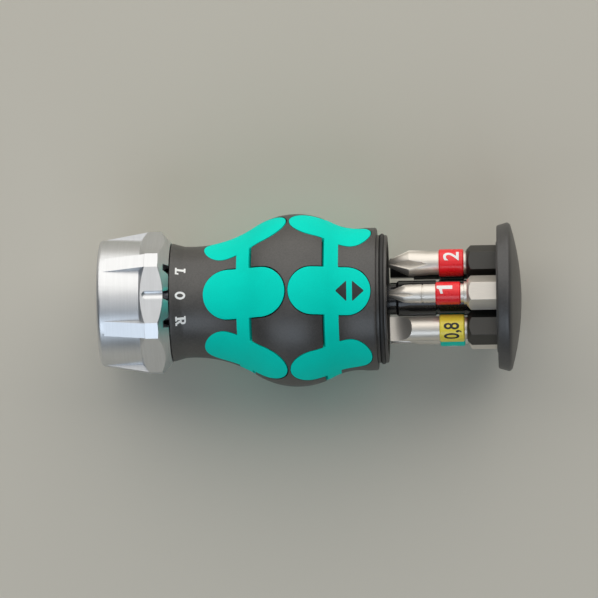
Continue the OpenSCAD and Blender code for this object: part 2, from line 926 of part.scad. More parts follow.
module right_pawl() {
    color("darkgray")
        laid()
            other_side()
                pawl();
}

module pawl_pins() {
    color("lightgray")
        laid()
            pawl_pin_places()
                bar(pawl_pin_r, plate_z, floor_z + pin_depth);
}

// One leaf over the housing's upper block presses both toes into the gear
module pawl_spring() {
    color("dimgray")
        laid()
            slab(pawl_leaf_z, pawl_leaf_z + pawl_leaf_w)
                union() {
                    arc_strip(pawl_leaf_in_r, pawl_leaf_out_r, pawl_leaf_angle, pawl_leaf_end_angle);
                    translate([-pawl_tab_w / 2, pawl_leaf_in_r - pawl_tab_depth])
                        square([pawl_tab_w, pawl_tab_depth + pawl_leaf_t / 2]);
                }
}

module guide_pin() {
    color("lightgray")
        laid() {
            bar(guide_r, guide_root_z, guide_head_z);
            bar(guide_head_r, guide_head_z, guide_head_z + guide_head_len);
        }
}

module spigot_o_ring() {
    color([0.1, 0.1, 0.1])
        laid()
            translate([0, 0, seal_z])
                rotate_extrude()
                    translate([spigot_r - seal_groove_depth + ring_seal_r, 0])
                        circle(r = ring_seal_r);
}

module end_cap() {
    flare_z = cap_z + cap_flare_len;
    color([0.18, 0.18, 0.19])
        laid()
            rotate_extrude()
                intersection() {
                    polygon([
                        [0, cap_floor_z],
                        [skirt_r, cap_floor_z],
                        [skirt_r, cap_z],
                        [cap_edge_r, cap_z],
                        [cap_r, flare_z],
                        [cap_r - cap_edge, flare_z + cap_edge],
                        [cap_r - cap_edge, cap_top_z + overrun],
                        [0, cap_top_z + overrun]
                    ]);
                    translate([0, cap_top_z - dome_r])
                        circle(r = dome_r, $fn = dome_fn);
                }
}

// Turns a piece drawn on the axis to one of the bit places
module at_bit_place(i) {
    rotate([0, 0, up_angle + i * 360 / bit_count])
        translate([bit_circle_r, 0, 0])
            children();
}

module bit_retainer() {
    pocket_af = bit_af + 2 * pocket_gap;
    color([0.2, 0.2, 0.21])
        laid()
            difference() {
                bar(retainer_r, cap_floor_z - retainer_t, cap_floor_z);
                bar(post_r, cap_floor_z - retainer_t - overrun, cap_floor_z + overrun);
                for (i = [0 : bit_count - 1])
                    at_bit_place(i)
                        rotate([0, 0, 30])
                            hex_bar(pocket_af, cap_floor_z - retainer_t - overrun, cap_floor_z + overrun);
            }
}

module magazine_post() {
    bore_r = guide_head_r + running_gap;
    lip_end_z = post_z + post_lip;
    color([0.15, 0.15, 0.16])
        laid()
            rotate_extrude()
                polygon([
                    [guide_r + running_gap, post_z],
                    [post_r - post_step, post_z],
                    [post_r - post_step, post_step_z],
                    [post_r, post_step_z + post_step],
                    [post_r, post_groove_z],
                    [post_r - post_groove_depth, post_groove_z],
                    [post_r - post_groove_depth, post_groove_z + post_groove_w],
                    [post_r, post_groove_z + post_groove_w],
                    [post_r, cap_floor_z],
                    [bore_r, cap_floor_z],
                    [bore_r, lip_end_z],
                    [guide_r + running_gap, lip_end_z]
                ]);
}

// Puts a bit drawn from its tip at zero into its pocket
module stored_bit(i) {
    laid()
        at_bit_place(i)
            translate([0, 0, bit_tip_z])
                children();
}

// Hexagon shank with turned ends, and the neck in front of it
module bit_shank(body_r) {
    from = bit_len - shank_len;
    bar(body_r, tip_len - overrun, from + overrun);
    bar(neck_r, from - neck_len, from + overrun);
    intersection() {
        rotate([0, 0, 30])
            hex_bar(bit_af, from, bit_len);
        rotate_extrude()
            polygon([
                [0, from],
                [shank_corner_r - shank_chamfer, from],
                [shank_corner_r + shank_chamfer, from + 2 * shank_chamfer],
                [shank_corner_r + shank_chamfer, bit_len - 2 * shank_chamfer],
                [shank_corner_r - shank_chamfer / 2, bit_len],
                [0, bit_len]
            ]);
    }
}

module bit_sleeve(body_r, outer_r) {
    from = tip_len;
    rotate_extrude()
        polygon([
            [body_r, from],
            [outer_r - sleeve_bevel, from],
            [outer_r, from + sleeve_bevel],
            [outer_r, sleeve_end_w - sleeve_bevel],
            [outer_r - sleeve_bevel, sleeve_end_w],
            [body_r, sleeve_end_w]
        ]);
}

// Cross tip: a turned point with four flutes that run out towards the body
module cross_tip(core_r, tip_r, wing_r, wing_share, runout_share, body_r, turn) {
    wing_w = wing_share * tip_len;
    runout_w = runout_share * tip_len;
    tilt = atan((body_r + flute_rise - core_r) / runout_w);
    difference() {
        rotate_extrude()
            polygon([
                [0, 0],
                [tip_r, 0],
                [wing_r, wing_w],
                [body_r, runout_w],
                [body_r, tip_len],
                [0, tip_len]
            ]);
        for (i = [0 : 3])
            rotate([0, 0, turn + 90 * i])
                translate([core_r, 0, 0])
                    rotate([0, tilt, 0])
                        rotate([0, 0, -45])
                            translate([0, 0, -overrun])
                                cube([flute_side, flute_side, 2 * runout_w]);
    }
}

module cross_bit_large() {
    color("silver")
        stored_bit(5) {
            cross_tip(
                large_core_r, large_tip_r, large_wing_r, large_wing_share, large_runout_share, bit_body_r,
                large_flute_turn
            );
            bit_shank(bit_body_r);
        }
}

module cross_bit_small() {
    color("silver")
        stored_bit(0) {
            groove_z = small_groove_share * tip_len;
            difference() {
                cross_tip(
                    small_core_r, small_tip_r, small_wing_r, small_wing_share,
                    small_runout_share, small_body_r, small_flute_turn
                );
                difference() {
                    bar(small_body_r + overrun, groove_z, groove_z + small_groove_w);
                    bar(small_body_r - small_groove_depth, groove_z - overrun, groove_z + overrun);
                }
            }
            bit_shank(small_body_r);
        }
}

module slotted_bit() {
    color("silver")
        stored_bit(1) {
            difference() {
                bar(slot_body_r, 0, tip_len);
                for (side = [0, half_turn])
                    rotate([0, 0, blade_turn + side])
                        translate([blade_t / 2 + scoop_r, slot_body_r + overrun, scoop_w])
                            rotate([90, 0, 0])
                                cylinder(r = scoop_r, h = 2 * (slot_body_r + overrun));
            }
            bit_shank(slot_neck_r);
        }
}

// Star tip: a round bar with six hollows, and a taper up to the body
module star_tip(tip_r) {
    slab(0, star_len)
        difference() {
            circle(r = tip_r);
            for (i = [0 : 5])
                rotate(60 * i)
                    translate([tip_r * (1 + star_hollow_share / 4), 0])
                        circle(r = star_hollow_share * tip_r);
        }
    rotate_extrude()
        polygon([
            [0, star_len - star_taper],
            [tip_r * (1 - star_hollow_share), star_len - star_taper],
            [bit_body_r, star_len + star_taper],
            [bit_body_r, tip_len],
            [0, tip_len]
        ]);
}

module star_bit_large() {
    color("silver")
        stored_bit(2) {
            star_tip(star_r);
            bit_shank(bit_body_r);
        }
}

module star_bit_small() {
    color("silver")
        stored_bit(3) {
            star_tip(star_small_r);
            bit_shank(bit_body_r);
        }
}

module hex_bit() {
    color("silver")
        stored_bit(4) {
            hex_bar(hex_tip_af, 0, hex_tip_len + overrun);
            bar(bit_body_r, hex_tip_len, tip_len);
            bit_shank(bit_body_r);
        }
}

module cross_bit_large_sleeve() {
    color("crimson")
        stored_bit(5)
            bit_sleeve(bit_body_r, sleeve_r);
}

module cross_bit_small_sleeve() {
    color("crimson")
        stored_bit(0)
            translate([0, 0, -small_sleeve_shift])
                bit_sleeve(small_body_r, small_sleeve_r);
}

module slotted_bit_sleeve() {
    color("gold")
        stored_bit(1)
            bit_sleeve(slot_neck_r, sleeve_r);
}

module star_bit_large_sleeve() {
    color("mediumseagreen")
        stored_bit(2)
            bit_sleeve(bit_body_r, sleeve_r);
}

module star_bit_small_sleeve() {
    color("mediumseagreen")
        stored_bit(3)
            bit_sleeve(bit_body_r, sleeve_r);
}

module hex_bit_sleeve() {
    color([0.12, 0.12, 0.13])
        stored_bit(4)
            bit_sleeve(bit_body_r, sleeve_r);
}

selector_ring();
ring_retainer();
detent_spring();
handle_shell();
front_grip_band();
rear_grip_band();
ratchet_housing();
front_plate();
spindle();
ratchet_gear();
thrust_washer();
spindle_circlip();
socket_magnet();
left_pawl();
right_pawl();
pawl_pins();
pawl_spring();
guide_pin();
spigot_o_ring();
end_cap();
bit_retainer();
magazine_post();
cross_bit_large();
cross_bit_small();
slotted_bit();
star_bit_large();
star_bit_small();
hex_bit();
cross_bit_large_sleeve();
cross_bit_small_sleeve();
slotted_bit_sleeve();
star_bit_large_sleeve();
star_bit_small_sleeve();
hex_bit_sleeve();
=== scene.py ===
"""Looks of a stubby ratcheting screwdriver with a pull-out bit magazine.

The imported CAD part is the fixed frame. The tool lies along +X, with its nose at the origin and the mark up.
Sizes in the classes are millimetres, angles are degrees from the top towards +Y, and meshes are in metres.
"""

from __future__ import annotations

import json
import logging
import math
from collections.abc import Callable, Iterator, Sequence
from contextlib import contextmanager
from dataclasses import dataclass, field
from enum import Enum

import bpy
from mathutils import Matrix, Vector


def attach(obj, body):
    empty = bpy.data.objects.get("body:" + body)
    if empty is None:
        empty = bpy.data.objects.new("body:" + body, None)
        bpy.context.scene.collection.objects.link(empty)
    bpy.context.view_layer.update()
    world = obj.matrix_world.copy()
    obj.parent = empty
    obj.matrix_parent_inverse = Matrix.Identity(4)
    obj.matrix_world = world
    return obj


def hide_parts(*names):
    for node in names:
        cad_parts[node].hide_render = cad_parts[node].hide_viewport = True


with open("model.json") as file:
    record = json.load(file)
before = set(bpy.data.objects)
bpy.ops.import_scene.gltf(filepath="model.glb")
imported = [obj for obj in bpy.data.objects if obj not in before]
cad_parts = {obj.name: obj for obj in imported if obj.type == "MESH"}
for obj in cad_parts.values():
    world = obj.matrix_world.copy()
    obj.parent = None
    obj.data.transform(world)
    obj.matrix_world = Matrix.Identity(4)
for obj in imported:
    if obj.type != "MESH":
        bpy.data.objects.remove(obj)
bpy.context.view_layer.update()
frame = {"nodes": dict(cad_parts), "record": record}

MM = 0.001
WELD = 1e-7
SLACK = 1e-6
log = logging.getLogger("screwdriver")

Point = tuple[float, float]
Color = tuple[float, float, float]


def steps(start: float, end: float, step: float) -> list[float]:
    """Even stations from start to end.

    Args:
        start: First station.
        end: Last station, which is part of the list.
        step: Longest distance between two stations.

    Returns:
        The stations in order.
    """
    count = max(1, math.ceil(abs(end - start) / step - SLACK))
    return [start + (end - start) * i / count for i in range(count + 1)]


class Bench:
    """Blender's operators, used on one piece at a time."""

    @staticmethod
    def clear() -> None:
        """Leaves edit mode and deselects everything."""
        if bpy.context.mode != "OBJECT":
            bpy.ops.object.mode_set(mode="OBJECT")
        bpy.ops.object.select_all(action="DESELECT")

    @staticmethod
    def pick(piece: bpy.types.Object) -> None:
        """Makes a piece the only selected and active one."""
        Bench.clear()
        piece.select_set(True)
        bpy.context.view_layer.objects.active = piece

    @staticmethod
    @contextmanager
    def editing(piece: bpy.types.Object) -> Iterator[None]:
        """Edit mode on a piece, with all of it selected.

        Args:
            piece: Mesh object to edit.

        Returns:
            A context in which mesh operators act on the piece.
        """
        Bench.pick(piece)
        bpy.ops.object.mode_set(mode="EDIT")
        bpy.ops.mesh.select_mode(type="VERT")
        bpy.ops.mesh.select_all(action="SELECT")
        yield
        bpy.ops.object.mode_set(mode="OBJECT")

    @staticmethod
    def select(piece: bpy.types.Object, test: Callable[[Vector], bool]) -> None:
        """Selects the points of a piece in edit mode by their place.

        Args:
            piece: The piece in edit mode.
            test: Says of a point's place, in metres, whether the point is taken.
        """
        bpy.ops.mesh.select_all(action="DESELECT")
        bpy.ops.object.mode_set(mode="OBJECT")
        for vertex in piece.data.vertices:
            vertex.select = test(vertex.co)
        bpy.ops.object.mode_set(mode="EDIT")

    @staticmethod
    def loop(name: str, points: Sequence[Vector], filled: bool = False) -> bpy.types.Object:
        """Closed outline, shaped from a circle of as many points.

        Args:
            name: Name of the piece.
            points: Places of the points, in metres.
            filled: Whether one face fills the outline.

        Returns:
            The new piece.
        """
        Bench.clear()
        bpy.ops.mesh.primitive_circle_add(vertices=len(points), fill_type="NGON" if filled else "NOTHING")
        piece = bpy.context.object
        piece.name = name
        for vertex, place in zip(piece.data.vertices, points):
            vertex.co = place
        return piece

    @staticmethod
    def lathe(name: str, outline: Sequence[Point], turns: int) -> bpy.types.Object:
        """Solid of revolution about the tool's axis.

        Args:
            name: Name of the piece.
            outline: Closed half section, as station and radius in millimetres.
            turns: Steps of the full turn.

        Returns:
            The new piece.
        """
        piece = Bench.loop(name, [Vector((x * MM, 0, r * MM)) for x, r in outline])
        with Bench.editing(piece):
            bpy.ops.mesh.spin(steps=turns, angle=math.tau, center=(0, 0, 0), axis=(1, 0, 0))
            Bench.weld()
        return piece

    @staticmethod
    def weld() -> None:
        """Merges doubled points of the piece in edit mode and turns its faces outwards."""
        bpy.ops.mesh.select_all(action="SELECT")
        bpy.ops.mesh.remove_doubles(threshold=WELD)
        bpy.ops.mesh.dissolve_degenerate(threshold=WELD)
        bpy.ops.mesh.delete_loose()
        bpy.ops.mesh.select_all(action="SELECT")
        bpy.ops.mesh.normals_make_consistent(inside=False)

    @staticmethod
    def modify(piece: bpy.types.Object, kind: str, **settings: object) -> None:
        """Adds a modifier with its settings and applies it.

        Args:
            piece: The piece that gets the modifier.
            kind: Blender's name of the modifier's type.
            **settings: Values of the modifier's properties.
        """
        Bench.pick(piece)
        modifier = piece.modifiers.new(kind.lower(), kind)
        for key, value in settings.items():
            setattr(modifier, key, value)
        bpy.ops.object.modifier_apply(modifier=modifier.name)

    @staticmethod
    def cut(piece: bpy.types.Object, cutter: bpy.types.Object) -> None:
        """Takes a cutter's shape out of a piece and removes the cutter."""
        Bench.modify(piece, "BOOLEAN", operation="DIFFERENCE", solver="MANIFOLD", object=cutter)
        bpy.data.objects.remove(cutter)

    @staticmethod
    def round_edges(piece: bpy.types.Object, width: float, angle: float, segments: int = 2) -> None:
        """Rounds the edges of a piece that are sharper than an angle.

        Args:
            piece: The piece to round.
            width: Width of the rounding in millimetres.
            angle: Least angle between two faces, in degrees.
            segments: Faces across the rounding.
        """
        Bench.modify(
            piece, "BEVEL", width=width * MM, segments=segments, limit_method="ANGLE",
            angle_limit=math.radians(angle), miter_outer="MITER_ARC", loop_slide=False,
        )

    @staticmethod
    def smooth(piece: bpy.types.Object, angle: float) -> None:
        """Shades a piece smooth, apart from edges sharper than an angle in degrees."""
        Bench.pick(piece)
        bpy.ops.object.shade_smooth_by_angle(angle=math.radians(angle))


class Term:
    """A shader socket that takes part in Python arithmetic."""

    def __init__(self, shader: Shader, socket: bpy.types.NodeSocket) -> None:
        """Wraps an output socket of a shader's node."""
        self.shader = shader
        self.socket = socket

    def _math(self, operation: str, other: Term | float) -> Term:
        """Adds a Math node with the term on its left hand side.

        Args:
            operation: Blender's name of the operation.
            other: Right hand side.

        Returns:
            The node's result.
        """
        return self.shader.node("Math", {"operation": operation}, {0: self, 1: other})

    def __add__(self, other: Term | float) -> Term:
        """Sum."""
        return self._math("ADD", other)

    def __mul__(self, other: Term | float) -> Term:
        """Product."""
        return self._math("MULTIPLY", other)

    def ramp(self, low: float, high: float) -> Term:
        """Smooth step from 0 at low to 1 at high.

        Args:
            low: Value that becomes 0.
            high: Value that becomes 1.

        Returns:
            The stepped value.
        """
        settings = {"interpolation_type": "SMOOTHSTEP"}
        return self.shader.node("MapRange", settings, {0: self, 1: low, 2: high, 3: 0.0, 4: 1.0})


class Shader:
    """Node tree of one material, with a Principled shader at its end."""

    def __init__(self, name: str) -> None:
        """Makes the material and its shader node."""
        self.material = bpy.data.materials.new(name)
        self.material.use_nodes = True
        self.tree = self.material.node_tree
        self.principled = self.tree.nodes["Principled BSDF"]
        self.place = self.node("TexCoord", output="Object")

    def node(
        self, kind: str, settings: dict | None = None, sockets: dict | None = None, output: str | int = 0
    ) -> Term:
        """Adds a node.

        Args:
            kind: Type of the node, without its ShaderNode prefix.
            settings: Properties, which are set first.
            sockets: Values or links of input sockets, by name or number.
            output: Output socket that is returned.

        Returns:
            The chosen output.
        """
        made = self.tree.nodes.new("ShaderNode" + kind)
        for key, value in (settings or {}).items():
            setattr(made, key, value)
        for key, value in (sockets or {}).items():
            self.feed(made.inputs[key], value)
        return Term(self, made.outputs[output])

    def feed(self, socket: bpy.types.NodeSocket, value: object) -> None:
        """Links a term to a socket, or sets the socket's own value."""
        if isinstance(value, Term):
            self.tree.links.new(value.socket, socket)
        else:
            socket.default_value = value

    def set(self, **values: object) -> None:
        """Sets or links the Principled shader's sockets; underscores stand for blanks."""
        for key, value in values.items():
            self.feed(self.principled.inputs[key.replace("_", " ")], value)

    def noise(self, scale: Sequence[float], detail: float = 2.0) -> Term:
        """Noise on Object coordinates.

        Args:
            scale: Waves a millimetre along X, Y and Z.
            detail: Octaves of the noise.

        Returns:
            Values about 0.5.
        """
        spread = self.node("Mapping", None, {"Vector": self.place, "Scale": [s / MM for s in scale]})
        return self.node("TexNoise", None, {"Vector": spread, "Scale": 1.0, "Detail": detail})

    def mix(self, factor: Term, first: Color | Term, second: Color | Term) -> Term:
        """Mixes two colours by a factor.

        Args:
            factor: 0 for the first colour, 1 for the second.
            first: First colour.
            second: Second colour.

        Returns:
            The mixed colour.
        """
        ends = [(*c, 1.0) if isinstance(c, tuple) else c for c in (first, second)]
        return self.node("Mix", {"data_type": "RGBA"}, {0: factor, 6: ends[0], 7: ends[1]}, output=2)

    def bump(self, height: Term, depth: float, strength: float) -> None:
        """Feeds a height to the shader's normal.

        Args:
            height: Height of the surface, 0 to 1.
            depth: Depth of the relief in millimetres.
            strength: Share of the relief that shows.
        """
        sockets = {"Strength": strength, "Distance": depth * MM, "Height": height}
        self.set(Normal=self.node("Bump", None, sockets))


class Grain(Enum):
    """Surface of a finish: waves a millimetre along X, Y and Z, and depth of its relief in millimetres."""

    BRUSHED = ((2.6, 0.12, 0.12), 0.0025)
    TURNED = ((22.0, 0.6, 0.6), 0.004)
    DRAWN = ((0.5, 14.0, 14.0), 0.003)
    ERODED = ((2.7, 2.7, 2.7), 0.045)
    SOFT = ((6.0, 6.0, 6.0), 0.012)
    MOULDED = ((1.6, 1.6, 1.6), 0.004)


@dataclass(frozen=True)
class Finish:
    """Material of one slot: a base colour, its mottle, the surface's grain and an optional painted dark
    reflection on a bit's hex end.
    """

    slot: str
    color: Color
    grain: Grain
    roughness: float
    metallic: float = 0.0
    mottle: float = 0.12
    uneven: float = 0.08
    specular: float = 0.5
    coat: float = 0.0
    painted_reflection: Color | None = None
    painted_reflection_stations: Point = (77.55, 78.1)
    cloud_waves: float = 0.16
    octaves: float = 3.0
    fine_share: float = 0.55
    spread: Point = (0.3, 0.7)
    relief: float = 0.6

    def material(self) -> bpy.types.Material:
        """Builds the finish's material.

        Returns:
            The new material.
        """
        shader = Shader(self.slot)
        scale, depth = self.grain.value
        fine = shader.noise(scale, self.octaves)
        cloud = shader.noise((self.cloud_waves,) * 3, self.octaves)
        dark: Color = tuple(c * (1 - self.mottle) for c in self.color)
        light: Color = tuple(min(1.0, c * (1 + self.mottle)) for c in self.color)
        patches = fine * self.fine_share + cloud * (1 - self.fine_share)
        color = shader.mix(patches.ramp(*self.spread), dark, light)
        # Painted reflection: past a station along the tool the colour turns dark, standing in for the dark
        # surroundings that the flat faces of a bit's hex end reflect.
        if self.painted_reflection:
            station = shader.node("SeparateXYZ", None, {0: shader.place})
            color = shader.mix(station.ramp(self.painted_reflection_stations[0] * MM, self.painted_reflection_stations[1] * MM), color, self.painted_reflection)
        # Noise is about 0.5, so the two noises together add 1.5 times the unevenness on average.
        rough = cloud * (2 * self.uneven) + fine * self.uneven + (self.roughness - 1.5 * self.uneven)
        shader.set(
            Base_Color=color, Roughness=rough, Metallic=self.metallic, Specular_IOR_Level=self.specular,
            Coat_Weight=self.coat,
        )
        shader.bump(fine, depth, self.relief)
        return shader.material


FINISHES = (
    Finish("ring_metal", (0.71, 0.72, 0.735), Grain.BRUSHED, 0.37, metallic=1.0, mottle=0.04, uneven=0.04),
    Finish("handle_black", (0.054, 0.050, 0.046), Grain.ERODED, 0.41, mottle=0.30, specular=0.8),
    Finish("grip_green", (0.0, 0.79, 0.63), Grain.SOFT, 0.68, mottle=0.05, specular=0.08),
    Finish("cap_black", (0.044, 0.042, 0.041), Grain.ERODED, 0.41, mottle=0.28, specular=0.8),
    Finish("mechanism_steel", (0.56, 0.57, 0.58), Grain.TURNED, 0.33, metallic=1.0, mottle=0.08),
    Finish("spring_steel", (0.10, 0.10, 0.11), Grain.DRAWN, 0.38, metallic=1.0, mottle=0.2),
    Finish("bearing_bronze", (0.66, 0.50, 0.24), Grain.TURNED, 0.35, metallic=1.0, mottle=0.1),
    Finish("magnet_plate", (0.78, 0.78, 0.80), Grain.TURNED, 0.16, metallic=1.0, mottle=0.03, uneven=0.03),
    Finish("seal_rubber", (0.022, 0.022, 0.022), Grain.SOFT, 0.5, mottle=0.2),
    Finish("bit_steel", (0.78, 0.73, 0.66), Grain.DRAWN, 0.42, metallic=0.85, mottle=0.06, uneven=0.05),
    # bit_dark_steel is the bit steel with a painted dark reflection on its hex end.
    Finish(
        "bit_dark_steel", (0.78, 0.73, 0.66), Grain.DRAWN, 0.42, metallic=0.85, mottle=0.06, uneven=0.05,
        painted_reflection=(0.085, 0.082, 0.076),
    ),
    # Painted shade: bit_black_steel makes the hex bit almost black, standing in for the shade of the gap
    # behind the other bits where it sits.
    Finish("bit_black_steel", (0.05, 0.05, 0.05), Grain.DRAWN, 0.4, metallic=1.0, mottle=0.15),
    Finish("post_black", (0.018, 0.018, 0.02), Grain.MOULDED, 0.22, mottle=0.2, uneven=0.04, coat=0.3),
    Finish("sleeve_red", (0.93, 0.018, 0.026), Grain.MOULDED, 0.28, mottle=0.06, coat=0.15),
    Finish("sleeve_yellow", (0.92, 0.75, 0.07), Grain.MOULDED, 0.30, mottle=0.06, coat=0.15),
    Finish("sleeve_green", (0.0, 0.70, 0.53), Grain.MOULDED, 0.36, mottle=0.06, specular=0.25),
    # Painted shade: sleeve_black makes the hex bit's sleeve almost black for the same shaded gap.
    Finish("sleeve_black", (0.02, 0.02, 0.022), Grain.MOULDED, 0.30, mottle=0.2, coat=0.3),
)
PRINTS = (
    Finish("print_white", (0.94, 0.94, 0.92), Grain.MOULDED, 0.5, mottle=0.03),
    Finish("print_black", (0.02, 0.02, 0.02), Grain.MOULDED, 0.5, mottle=0.2),
)


class Dresser:
    """Gives pieces their material and their body, both read from the frame's table."""

    SMOOTH_ANGLE = 32.0

    def __init__(self) -> None:
        """Makes all materials and reads the CAD nodes' slots and bodies."""
        self.materials = {f.slot: f.material() for f in FINISHES + PRINTS}
        record = frame["record"]
        self.slots = {row["node"]: row["material_slot"] for row in record["subparts"]}
        self.bodies = {n: body for body, nodes in record["behaviour"]["bodies"].items() for n in nodes}

    def paint(self, piece: bpy.types.Object, look: str) -> None:
        """Makes a named look the only material of a piece."""
        piece.data.materials.clear()
        piece.data.materials.append(self.materials[look])

    def stands_for(self, piece: bpy.types.Object, node: str) -> None:
        """Puts a piece in the place of a CAD node."""
        self.paint(piece, self.slots[node])
        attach(piece, self.bodies[node])
        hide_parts(node)
        log.info("piece %s stands for %s", piece.name, node)

    def adds(self, piece: bpy.types.Object, node: str, look: str) -> None:
        """Adds a piece to the body that carries a CAD node.

        Args:
            piece: The new piece.
            node: CAD node that carries it.
            look: Name of its material.
        """
        self.paint(piece, look)
        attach(piece, self.bodies[node])
        log.info("piece %s is added on %s", piece.name, node)

    def carry_over(self) -> None:
        """Gives every CAD node that stays its procedural material."""
        for node, piece in frame["nodes"].items():
            self.paint(piece, self.slots[node])
            Bench.smooth(piece, self.SMOOTH_ANGLE)


@dataclass(frozen=True)
class HandleForm:
    """Outside of the handle: a flared lip, a hollow, the palm bulge, a hollow and a straight rim."""

    lip_x: float = 15.35
    lip_r: float = 12.6
    lip_len: float = 2.9
    waist_x: float = 19.7
    waist_r: float = 11.8
    bulge_x: float = 41.8
    bulge_r: float = 18.35
    bulge_share: float = 0.57
    rear_x: float = 55.0
    rear_r: float = 15.05
    rim_start_x: float = 56.6
    rim_x: float = 59.0
    rim_chamfer: float = 0.4

    @staticmethod
    def _arcs(run: float, drop: float) -> float:
        """Sum of the radii of two arcs that meet smoothly over a run and a drop."""
        return (run**2 + drop**2) / (2 * drop)

    def radius(self, x: float) -> float:
        """Outer radius at a station.

        Args:
            x: Station along the tool in millimetres.

        Returns:
            The radius in millimetres.
        """
        rear_run, front_run = self.rear_x - self.bulge_x, self.waist_x - self.bulge_x
        rear_sum = self._arcs(rear_run, self.bulge_r - self.rear_r)
        front_sum = self._arcs(front_run, self.bulge_r - self.waist_r)
        bulge = self.bulge_share * rear_sum
        if x < self.bulge_x + front_run * bulge / front_sum:
            hollow = front_sum - bulge
            lip = self.lip_r + (self.waist_r - self.lip_r) * (x - self.lip_x) / self.lip_len
            return max(lip, self.waist_r + hollow - math.sqrt(hollow**2 - (x - self.waist_x) ** 2))
        if x < self.bulge_x + rear_run * bulge / rear_sum:
            return self.bulge_r - bulge + math.sqrt(bulge**2 - (x - self.bulge_x) ** 2)
        hollow = rear_sum - bulge
        return self.rear_r + hollow - math.sqrt(hollow**2 - (min(x, self.rim_start_x) - self.rear_x) ** 2)


@dataclass(frozen=True)
class GripBand:
    """Soft band: six stadium pads round the handle, joined by a belt."""

    node: str
    pad_x: float
    pad_len: float
    pad_w: float
    belt_x: float
    belt_w: float
    form: HandleForm
    depth: float = 1.1
    gap: float = 0.16
    rounding: float = 0.2
    count: int = 6
    belt_steps: int = 10
    belt_step: float = 1.0
    rings: tuple[float, ...] = (0.4, 0.5, 0.6, 0.8, 0.9, 0.9)
    side_step: float = 0.7
    belt_edge_step: float = 0.5
    end_step: float = 5.0
    cutter_rise: float = 1.0
    round_angle: float = 50.0
    round_segments: int = 3
    smooth_angle: float = 40.0

    def _outline(self, grow: float) -> list[Vector]:
        """Flat outline of one pad, grown all round, in metres.

        Args:
            grow: How much larger than the pad the outline is, in millimetres.

        Returns:
            The outline's points, with one at each edge of the belt.
        """
        half = self.pad_w / 2 + grow
        start, end = self.pad_x - grow + half, self.pad_x + self.pad_len + grow - half
        belt = (self.belt_x - grow, self.belt_x + self.belt_w + grow)
        side = steps(start, belt[0], self.side_step)
        side += steps(*belt, self.belt_edge_step)[1:] + steps(belt[1], end, self.side_step)[1:]
        turns = [math.radians(a) for a in steps(90, -90, self.end_step)][1:-1]
        flat = [(x, half) for x in side]
        flat += [(end + half * math.cos(a), half * math.sin(a)) for a in turns]
        flat += [(x, -half) for x in reversed(side)]
        flat += [(start - half * math.cos(a), half * math.sin(a)) for a in reversed(turns)]
        return [Vector((x * MM, s * MM, 0)) for x, s in flat]

    def _wrap(self, piece: bpy.types.Object, grow: float, lift: float) -> None:
        """Lays the flat sheet of one pad with its half belts on the handle's form.

        Args:
            piece: The flat sheet.
            grow: How much larger than the pad the sheet is, in millimetres.
            lift: Height over the handle's surface, in millimetres.
        """
        half = self.pad_w / 2 + grow
        reach = math.pi / self.count
        for vertex in piece.data.vertices:
            x, s = vertex.co.x / MM, vertex.co.y / MM
            r = self.form.radius(x)
            angle = math.asin(min(half, abs(s)) / r)
            angle += (reach - angle) * max(0.0, abs(s) - half) / (self.belt_steps * self.belt_step)
            turn = math.copysign(angle, s)
            vertex.co = Vector((x, (r + lift) * math.sin(turn), (r + lift) * math.cos(turn))) * MM

    def sheet(self, name: str, grow: float, lift: float, depth: float) -> bpy.types.Object:
        """Closed band of a given thickness.

        Args:
            name: Name of the piece.
            grow: How much larger than the band the piece is, in millimetres.
            lift: Height of its outer face over the handle's surface.
            depth: Its thickness.

        Returns:
            The new piece.
        """
        piece = Bench.loop(name, self._outline(grow), filled=True)
        half = (self.pad_w / 2 + grow) * MM
        low, high = (self.belt_x - grow) * MM, (self.belt_x + self.belt_w + grow) * MM
        with Bench.editing(piece):
            for ring in self.rings:
                bpy.ops.mesh.inset(thickness=ring * MM, depth=0)
            bpy.ops.mesh.quads_convert_to_tris()
            for side in (1, -1):
                Bench.select(
                    piece, lambda c: abs(c.y - side * half) < SLACK and low - SLACK < c.x < high + SLACK
                )
                for _ in range(self.belt_steps):
                    shift = {"value": (0, side * self.belt_step * MM, 0)}
                    bpy.ops.mesh.extrude_region_move(TRANSFORM_OT_translate=shift)
        self._wrap(piece, grow, lift)
        with Bench.editing(piece):
            turn = math.tau * (self.count - 1) / self.count
            bpy.ops.mesh.spin(
                steps=self.count - 1, dupli=True, angle=turn, center=(0, 0, 0), axis=(1, 0, 0)
            )
            Bench.weld()
        top = max(piece.data.polygons, key=lambda p: p.center.z)
        if top.normal.z < 0:
            with Bench.editing(piece):
                bpy.ops.mesh.flip_normals()
        Bench.modify(piece, "SOLIDIFY", thickness=depth * MM, offset=-1.0, use_even_offset=True)
        return piece

    def recess(self) -> bpy.types.Object:
        """Cutter for the band's recess in the handle."""
        rise = self.cutter_rise
        return self.sheet("recess", self.gap, rise, rise + self.depth + self.gap)

    def build(self) -> bpy.types.Object:
        """Band with rounded rims, flush with the handle.

        Returns:
            The new piece.
        """
        piece = self.sheet(self.node + "_soft", 0.0, 0.0, self.depth)
        Bench.round_edges(piece, self.rounding, self.round_angle, self.round_segments)
        Bench.smooth(piece, self.smooth_angle)
        return piece


